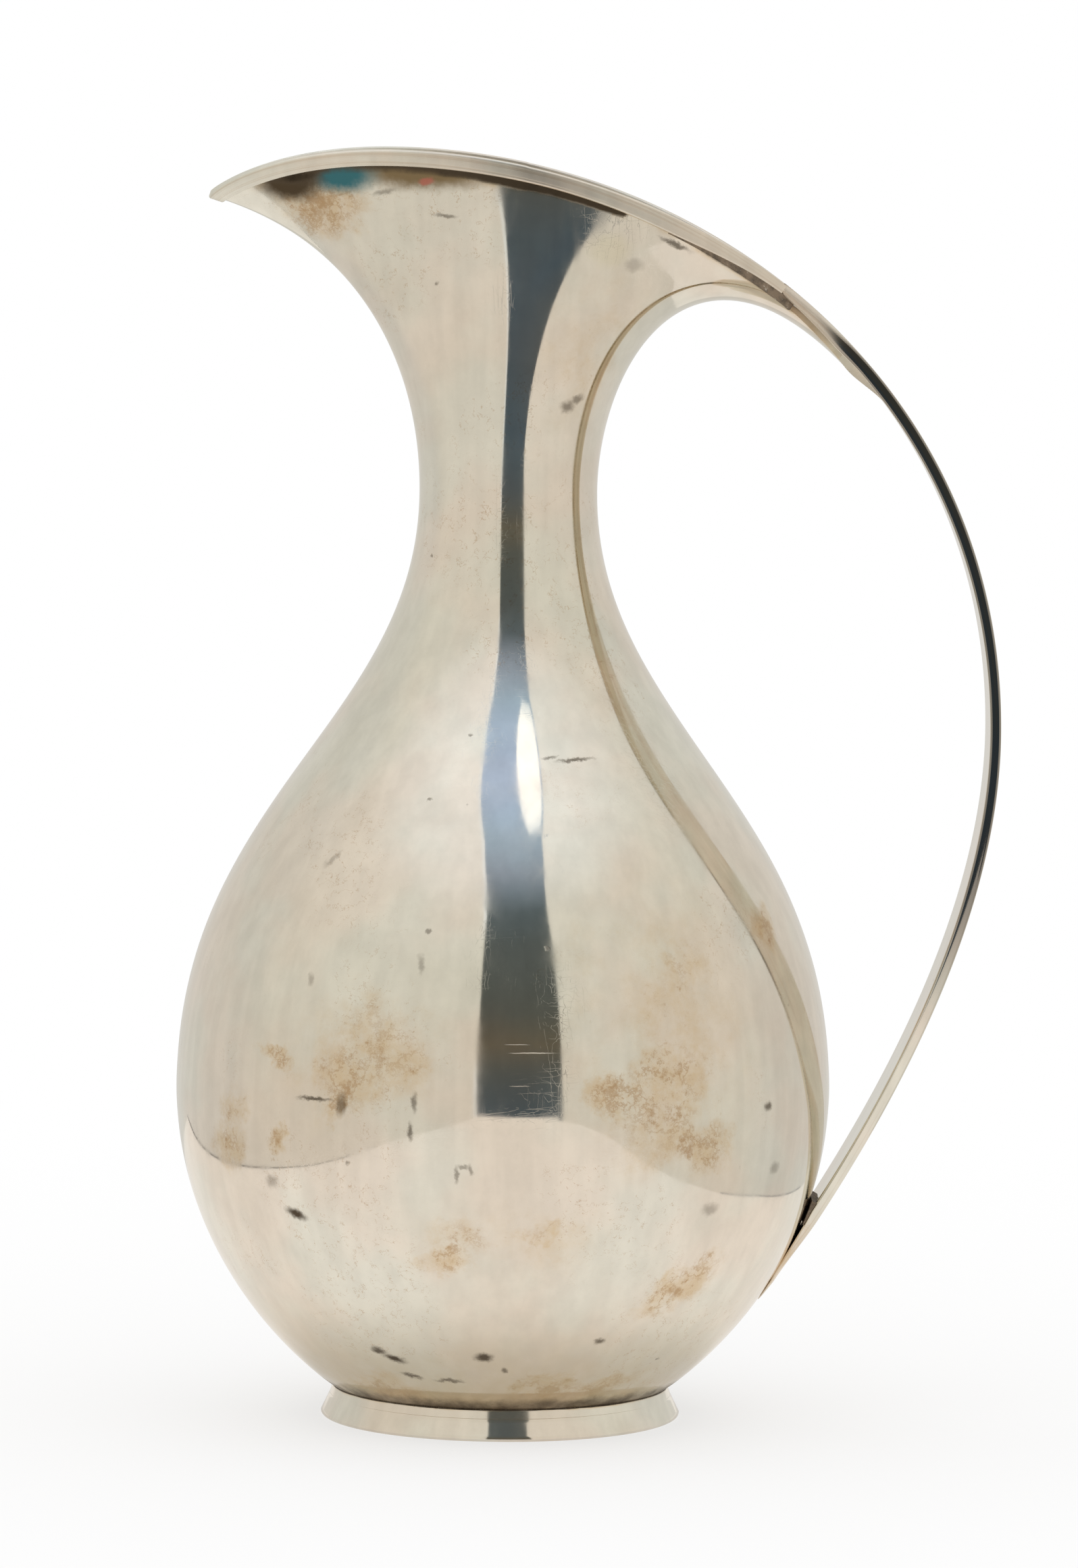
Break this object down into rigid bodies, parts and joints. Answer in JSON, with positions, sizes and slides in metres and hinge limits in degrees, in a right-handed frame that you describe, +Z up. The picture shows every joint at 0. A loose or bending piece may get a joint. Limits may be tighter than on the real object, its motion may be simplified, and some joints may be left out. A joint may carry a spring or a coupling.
{
  "type": "pitcher",
  "caption": "Pear-shaped silver pitcher with a narrow neck, a long pointed mouth whose rim line runs on into a thin strap handle, and a low foot ring.",
  "frame": {"origin": "on the table under the middle of the bounding box; the body's axis stands 14.3 mm towards -X", "axes": "+Z up, +X from the spout to the handle, Y across the mouth"},
  "size_m": [0.142, 0.1134, 0.22],
  "materials": {
    "polished_silver": "polished, warm, with fine scratches, small pits and orange-brown tarnish",
    "worn_silver": "satin from wear along edges",
    "dark_solder": "dull and blackened"
  },
  "bodies": {
    "root": {"lower_bowl": "polished_silver", "neck_and_spout": "polished_silver", "rim_wire": "worn_silver", "handle_strap": "worn_silver", "foot_ring": "worn_silver", "foot_solder_fillet": "dark_solder", "handle_head_solder": "dark_solder", "handle_tail_solder": "dark_solder"}
  },
  "joints": []
}
